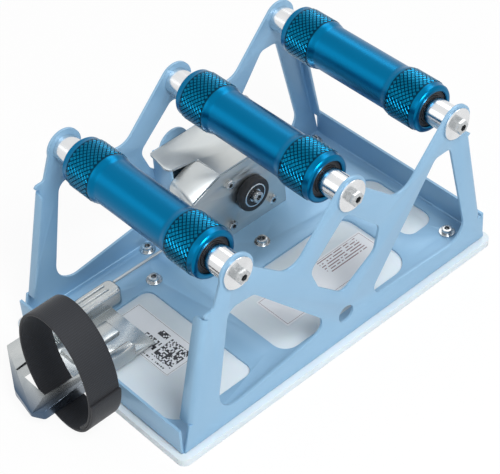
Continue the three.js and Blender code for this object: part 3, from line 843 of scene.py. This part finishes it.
strap = {
    "thickness": 2.0, "edge": 0.5 * mm, "across": 8, "margin": 1.1,  # margin: the CAD box to the centre line
    "endAngle": -5, "overlap": 55, "step": 4,
    "tuckFrom": 175, "tuckOver": 170, "tuck": 1.12,  # where the inner end leaves the loop, and by how much
}


def strapLine():
    # Centre line in X and Z, in mm from the loop's centre: once round, then on under its own end.
    low, high, centre = boxOf("strap")
    a = (high.x - low.x) / 2 / mm - strap["margin"]
    b = (high.z - low.z) / 2 / mm - strap["margin"]
    points = []
    total = 360 + strap["overlap"]
    for k in range(total // strap["step"] + 1):
        turn = k * strap["step"]
        t = math.radians(strap["endAngle"] - turn)
        share = min(1, max(0, (turn - strap["tuckFrom"]) / strap["tuckOver"]))
        inward = strap["thickness"] * strap["tuck"] * share * share * (3 - 2 * share)
        points.append(Vector(((a - inward) * math.cos(t), 0, (b - inward) * math.sin(t))))
    return points, centre


def buildStrap():
    points, centre = strapLine()
    low, high, _ = boxOf("strap")
    width = high.y - low.y
    bm = bmesh.new()
    uv = bm.loops.layers.uv.new("UVMap")
    verts = [bm.verts.new(centre + p * mm + Vector((0, -width / 2, 0))) for p in points]
    edges = [bm.edges.new(pair) for pair in zip(verts, verts[1:])]
    rim = edges
    for k in range(strap["across"]):
        made = bmesh.ops.extrude_edge_only(bm, edges=rim)
        fresh = [g for g in made["geom"] if isinstance(g, bmesh.types.BMVert)]
        bmesh.ops.translate(bm, verts=fresh, vec=(0, width / strap["across"], 0))
        rim = [g for g in made["geom"] if isinstance(g, bmesh.types.BMEdge)]
    run = [0.0]
    for p, q in zip(points, points[1:]):
        run.append(run[-1] + (q - p).length * mm)
    places = {}
    for p, length in zip(points, run):
        flat = centre + p * mm
        places[(round(flat.x, 5), round(flat.z, 5))] = length
    for face in bm.faces:
        for loop in face.loops:
            co = loop.vert.co
            loop[uv].uv = (co.y, places[(round(co.x, 5), round(co.z, 5))])
    bmesh.ops.recalc_face_normals(bm, faces=bm.faces)
    piece = makePiece(bm, "strapWebbing", webbing, "frame", ["strap"], sharp=60)
    solid = piece.modifiers.new("thickness", "SOLIDIFY")
    solid.thickness = strap["thickness"] * mm
    solid.offset = 0
    soft = piece.modifiers.new("soft", "BEVEL")
    soft.width = strap["edge"]
    soft.segments = 2
    soft.limit_method = "ANGLE"
    print("strap length", round(run[-1], 4))
    return piece


buildStrap()
print("tongue and strap made")


labels = {
    "edge": 0.08 * mm,
    "codeBorder": (0.8, 0.25), "noteBorder": (1.5, 0.3),  # inset and line width, in mm
    "codeInk": (0.012, 0.013, 0.02), "noteInk": (0.23, 0.13, 0.15),
    "noteRows": 6, "notePitch": 2.6,
}


def borderOf(low, high, inset, line):
    # Four full patches that make a ruled border.
    x0, x1, y0, y1 = (c / mm for c in (low.x, high.x, low.y, high.y))
    x0, x1, y0, y1 = x0 + inset, x1 - inset, y0 + inset, y1 - inset
    return [(x0, x1, y0, y0 + line, 1, 1, 1), (x0, x1, y1 - line, y1, 1, 1, 1),
            (x0, x0 + line, y0, y1, 1, 1, 1), (x1 - line, x1, y0, y1, 1, 1, 1)]


def buildLabels():
    low, high, _ = boxOf("code_label")
    x1, y0, y1 = high.x / mm, low.y / mm, high.y / mm
    marks = [
        (x1 - 24, x1 - 4, y0 + 6, y1 - 6, 1.15, 1.15, 0.52),  # square of blocks
        (x1 - 42, x1 - 26, y0 + 9, y0 + 18, 1.1, 1.9, 0.72),  # bars
        (x1 - 36, x1 - 27, y1 - 10, y1 - 5, 1.3, 1.2, 0.75),  # small patch
        (x1 - 40, x1 - 6, y0 + 2.6, y0 + 3.8, 0.7, 4, 0.6),  # row of ticks
    ]
    marks += borderOf(low, high, *labels["codeBorder"])
    code = makeLabelLook("codeLabelPrint", marks, labels["codeInk"])
    softCopy("code_label", "codeLabel", code, labels["edge"], 1)
    low, high, _ = boxOf("note_label")
    x0, y1 = low.x / mm, high.y / mm
    pitch = labels["notePitch"]
    rows = [(x0 + 3 + pitch * k, x0 + 3.9 + pitch * k, y1 - 46, y1 - 8, 3, 1.6, 0.74)
            for k in range(labels["noteRows"])]
    rows += borderOf(low, high, *labels["noteBorder"])
    note = makeLabelLook("noteLabelPrint", rows, labels["noteInk"])
    softCopy("note_label", "noteLabel", note, labels["edge"], 1)


buildLabels()
print("labels made")


studio = {
    "world": 0.32, "floorSize": 4, "floorWhite": 0.93, "aim": (0, 0, 0.06),
    "lamps": {  # place, size and power
        "key": ((0.9, -0.2, 1.3), 0.7, 19),
        "fill": ((-0.6, -1.1, 0.9), 0.9, 1.6),
        "rim": ((-0.5, 0.9, 1.2), 0.8, 3.5),
    },
}


def whiteForCamera(tree, strength):
    # The strength for rays from the camera, or that mirror off or pass through a piece, and 0 for others.
    path = tree.nodes.new("ShaderNodeLightPath")
    either = combine(tree, "MAXIMUM", path.outputs["Is Camera Ray"], path.outputs["Is Glossy Ray"])
    seen = combine(tree, "MAXIMUM", either, path.outputs["Is Transmission Ray"])
    return combine(tree, "MULTIPLY", seen, strength)


def buildFloorPlane():
    bm = bmesh.new()
    bmesh.ops.create_grid(bm, x_segments=1, y_segments=1, size=studio["floorSize"])
    mesh = bpy.data.meshes.new("studioFloor")
    bm.to_mesh(mesh)
    bm.free()
    look, tree, shader = newLook("studioFloor", Roughness=0.9, Base_Color=(0.9, 0.9, 0.9, 1))
    glow = tree.nodes.new("ShaderNodeEmission")
    mix = tree.nodes.new("ShaderNodeMixShader")
    out = tree.nodes["Material Output"]
    tree.links.new(whiteForCamera(tree, studio["floorWhite"]), mix.inputs["Fac"])
    tree.links.new(shader.outputs["BSDF"], mix.inputs[1])
    tree.links.new(glow.outputs["Emission"], mix.inputs[2])
    tree.links.new(mix.outputs["Shader"], out.inputs["Surface"])
    mesh.materials.append(look)
    plane = bpy.data.objects.new("studioFloor", mesh)
    bpy.context.scene.collection.objects.link(plane)


def buildWorld():
    world = bpy.data.worlds.new("studio")
    bpy.context.scene.world = world
    world.use_nodes = True
    tree = world.node_tree
    back = tree.nodes["Background"]
    back.inputs["Color"].default_value = (1, 1, 1, 1)
    amount = combine(tree, "ADD", whiteForCamera(tree, 1 - studio["world"]), studio["world"])
    tree.links.new(amount, back.inputs["Strength"])


def addLamp(name, location, size, power):
    lamp = bpy.data.lights.new(name, "AREA")
    lamp.shape = "DISK"
    lamp.size = size
    lamp.energy = power
    thing = bpy.data.objects.new(name, lamp)
    thing.location = location
    thing.rotation_mode = "QUATERNION"
    thing.rotation_quaternion = (Vector(studio["aim"]) - Vector(location)).to_track_quat("-Z", "Y")
    bpy.context.scene.collection.objects.link(thing)


camera = {
    "place": (0.70782, -0.58641, 0.91232), "target": (0.00821, -0.00998, 0.060), "roll": 4.415,
    "lens": 128.37, "sensor": 36, "farthest": 20,
}


def buildCamera():
    data = bpy.data.cameras.new("camera")
    data.lens = camera["lens"]
    data.sensor_width = camera["sensor"]
    data.clip_end = camera["farthest"]
    view = bpy.data.objects.new("camera", data)
    view.location = camera["place"]
    view.rotation_mode = "QUATERNION"
    aim = (Vector(camera["target"]) - view.location).to_track_quat("-Z", "Y")
    view.rotation_quaternion = aim @ Matrix.Rotation(math.radians(-camera["roll"]), 3, "Z").to_quaternion()
    bpy.context.scene.collection.objects.link(view)
    bpy.context.scene.camera = view


buildFloorPlane()
buildWorld()
for name, (location, size, power) in studio["lamps"].items():
    addLamp(name, location, size, power)
buildCamera()
bpy.context.scene.view_settings.view_transform = "Standard"

bpy.context.view_layer.update()
